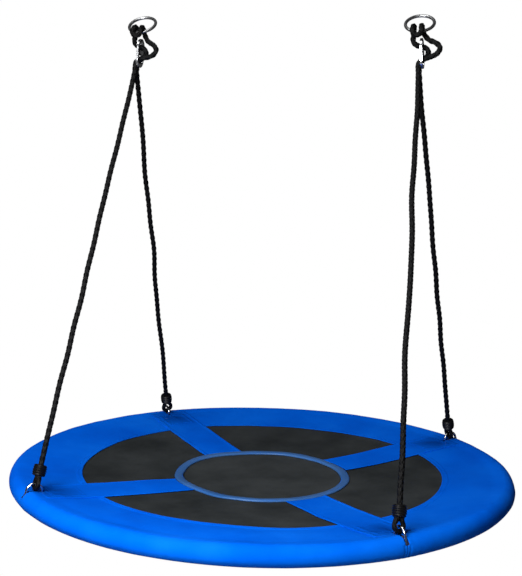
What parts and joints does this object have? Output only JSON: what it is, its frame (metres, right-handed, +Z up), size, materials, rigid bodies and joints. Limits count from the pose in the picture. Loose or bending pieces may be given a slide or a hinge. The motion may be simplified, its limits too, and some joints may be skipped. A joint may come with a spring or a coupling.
{
  "type": "saucer nest swing",
  "caption": "Round sling-seat swing: padded hoop frame with mesh and straps, hung from two steel rings by V-shaped ropes.",
  "frame": {"origin": "middle of the seat underside, in the plane the round rim rests on", "axes": "+Z up to the hanging rings, +X from the left hanging ring to the right one, +Y to the back, so the swing moves along Y"},
  "size_m": [1, 1, 0.9277],
  "materials": {
    "ring_steel": "polished zinc plate",
    "link_steel": "polished zinc plate",
    "adjuster_steel": "brushed",
    "rope": "braided cord",
    "ferrule": "ribbed, matt",
    "tube_steel": "galvanised grey",
    "button_steel": "satin",
    "spring_steel": "dark blued",
    "foam": "closed-cell foam",
    "blue_cloth": "coated woven cloth",
    "strap_cloth": "coated woven cloth",
    "trim_cloth": "folded webbing, slight sheen",
    "mesh_cloth": "fine open mesh"
  },
  "bodies": {
    "hang_rings": {"left_hang_ring": "ring_steel", "right_hang_ring": "ring_steel"},
    "left_hanger": {"left_adjuster": "adjuster_steel", "left_rope_head": "rope"},
    "right_hanger": {"right_adjuster": "adjuster_steel", "right_rope_head": "rope"},
    "left_rope": {"left_rope_legs": "rope", "left_front_ferrule": "ferrule", "left_back_ferrule": "ferrule"},
    "right_rope": {"right_rope_legs": "rope", "right_front_ferrule": "ferrule", "right_back_ferrule": "ferrule"},
    "seat": {"frame_tube_front": "tube_steel", "frame_tube_right": "tube_steel", "frame_tube_back": "tube_steel", "frame_tube_left": "tube_steel", "snap_spring_front": "spring_steel", "snap_spring_right": "spring_steel", "snap_spring_back": "spring_steel", "snap_spring_left": "spring_steel", "foam_front": "foam", "foam_right": "foam", "foam_back": "foam", "foam_left": "foam", "rim_cover_front": "blue_cloth", "rim_cover_right": "blue_cloth", "rim_cover_back": "blue_cloth", "rim_cover_left": "blue_cloth", "strap_left_front": "strap_cloth", "strap_left_back": "strap_cloth", "strap_right_front": "strap_cloth", "strap_right_back": "strap_cloth", "seat_mesh": "mesh_cloth", "centre_trim": "trim_cloth"},
    "link_left_front": {"left_front_link": "link_steel"},
    "link_left_back": {"left_back_link": "link_steel"},
    "link_right_front": {"right_front_link": "link_steel"},
    "link_right_back": {"right_back_link": "link_steel"},
    "button_front": {"snap_button_front": "button_steel"},
    "button_right": {"snap_button_right": "button_steel"},
    "button_back": {"snap_button_back": "button_steel"},
    "button_left": {"snap_button_left": "button_steel"}
  },
  "joints": [
    {"name": "swing", "type": "hinge", "parent": "hang_rings", "child": "left_hanger", "pos_m": [-0.28, 0, 0.8915], "axis": [1, 0, 0], "range_deg": [-45, 45]},
    {"name": "right_swing", "type": "hinge", "parent": "hang_rings", "child": "right_hanger", "pos_m": [0.28, 0, 0.8915], "axis": [1, 0, 0], "range_deg": [-45, 45]},
    {"name": "sway", "type": "hinge", "parent": "left_hanger", "child": "left_rope", "pos_m": [-0.28495, 0, 0.81366], "axis": [0, 1, 0], "range_deg": [-9, 9]},
    {"name": "right_sway", "type": "hinge", "parent": "right_hanger", "child": "right_rope", "pos_m": [0.28495, 0, 0.81366], "axis": [0, 1, 0], "range_deg": [-9, 9]},
    {"name": "seat_level", "type": "hinge", "parent": "left_rope", "child": "seat", "pos_m": [-0.33701, 0, 0.03357], "axis": [0, 1, 0], "range_deg": [-8, 8]},
    {"name": "left_front_link_lean", "type": "hinge", "parent": "seat", "child": "link_left_front", "pos_m": [-0.34047, -0.34047, 0.0185], "axis": [-0.7071, 0.7071, 0], "range_deg": [-6, 6]},
    {"name": "left_back_link_lean", "type": "hinge", "parent": "seat", "child": "link_left_back", "pos_m": [-0.34047, 0.34047, 0.0185], "axis": [0.7071, 0.7071, 0], "range_deg": [-6, 6]},
    {"name": "right_front_link_lean", "type": "hinge", "parent": "seat", "child": "link_right_front", "pos_m": [0.34047, -0.34047, 0.0185], "axis": [0.7071, 0.7071, 0], "range_deg": [-6, 6]},
    {"name": "right_back_link_lean", "type": "hinge", "parent": "seat", "child": "link_right_back", "pos_m": [0.34047, 0.34047, 0.0185], "axis": [-0.7071, 0.7071, 0], "range_deg": [-6, 6]},
    {"name": "button_front_press", "type": "slide", "parent": "seat", "child": "button_front", "axis": [0, 0, 1], "range_m": [0, 0.0045], "deforming": ["snap_spring_front"]},
    {"name": "button_right_press", "type": "slide", "parent": "seat", "child": "button_right", "axis": [0, 0, 1], "range_m": [0, 0.0045], "deforming": ["snap_spring_right"]},
    {"name": "button_back_press", "type": "slide", "parent": "seat", "child": "button_back", "axis": [0, 0, 1], "range_m": [0, 0.0045], "deforming": ["snap_spring_back"]},
    {"name": "button_left_press", "type": "slide", "parent": "seat", "child": "button_left", "axis": [0, 0, 1], "range_m": [0, 0.0045], "deforming": ["snap_spring_left"]}
  ],
  "couplings": [
    {"joint": "right_swing", "follows": "swing", "ratio": 1},
    {"joint": "right_sway", "follows": "sway", "ratio": 1},
    {"joint": "seat_level", "follows": "sway", "ratio": -0.84551},
    {"joint": "left_front_link_lean", "follows": "sway", "ratio": 0.59787},
    {"joint": "left_back_link_lean", "follows": "sway", "ratio": 0.59787},
    {"joint": "right_front_link_lean", "follows": "sway", "ratio": 0.59787},
    {"joint": "right_back_link_lean", "follows": "sway", "ratio": 0.59787}
  ]
}
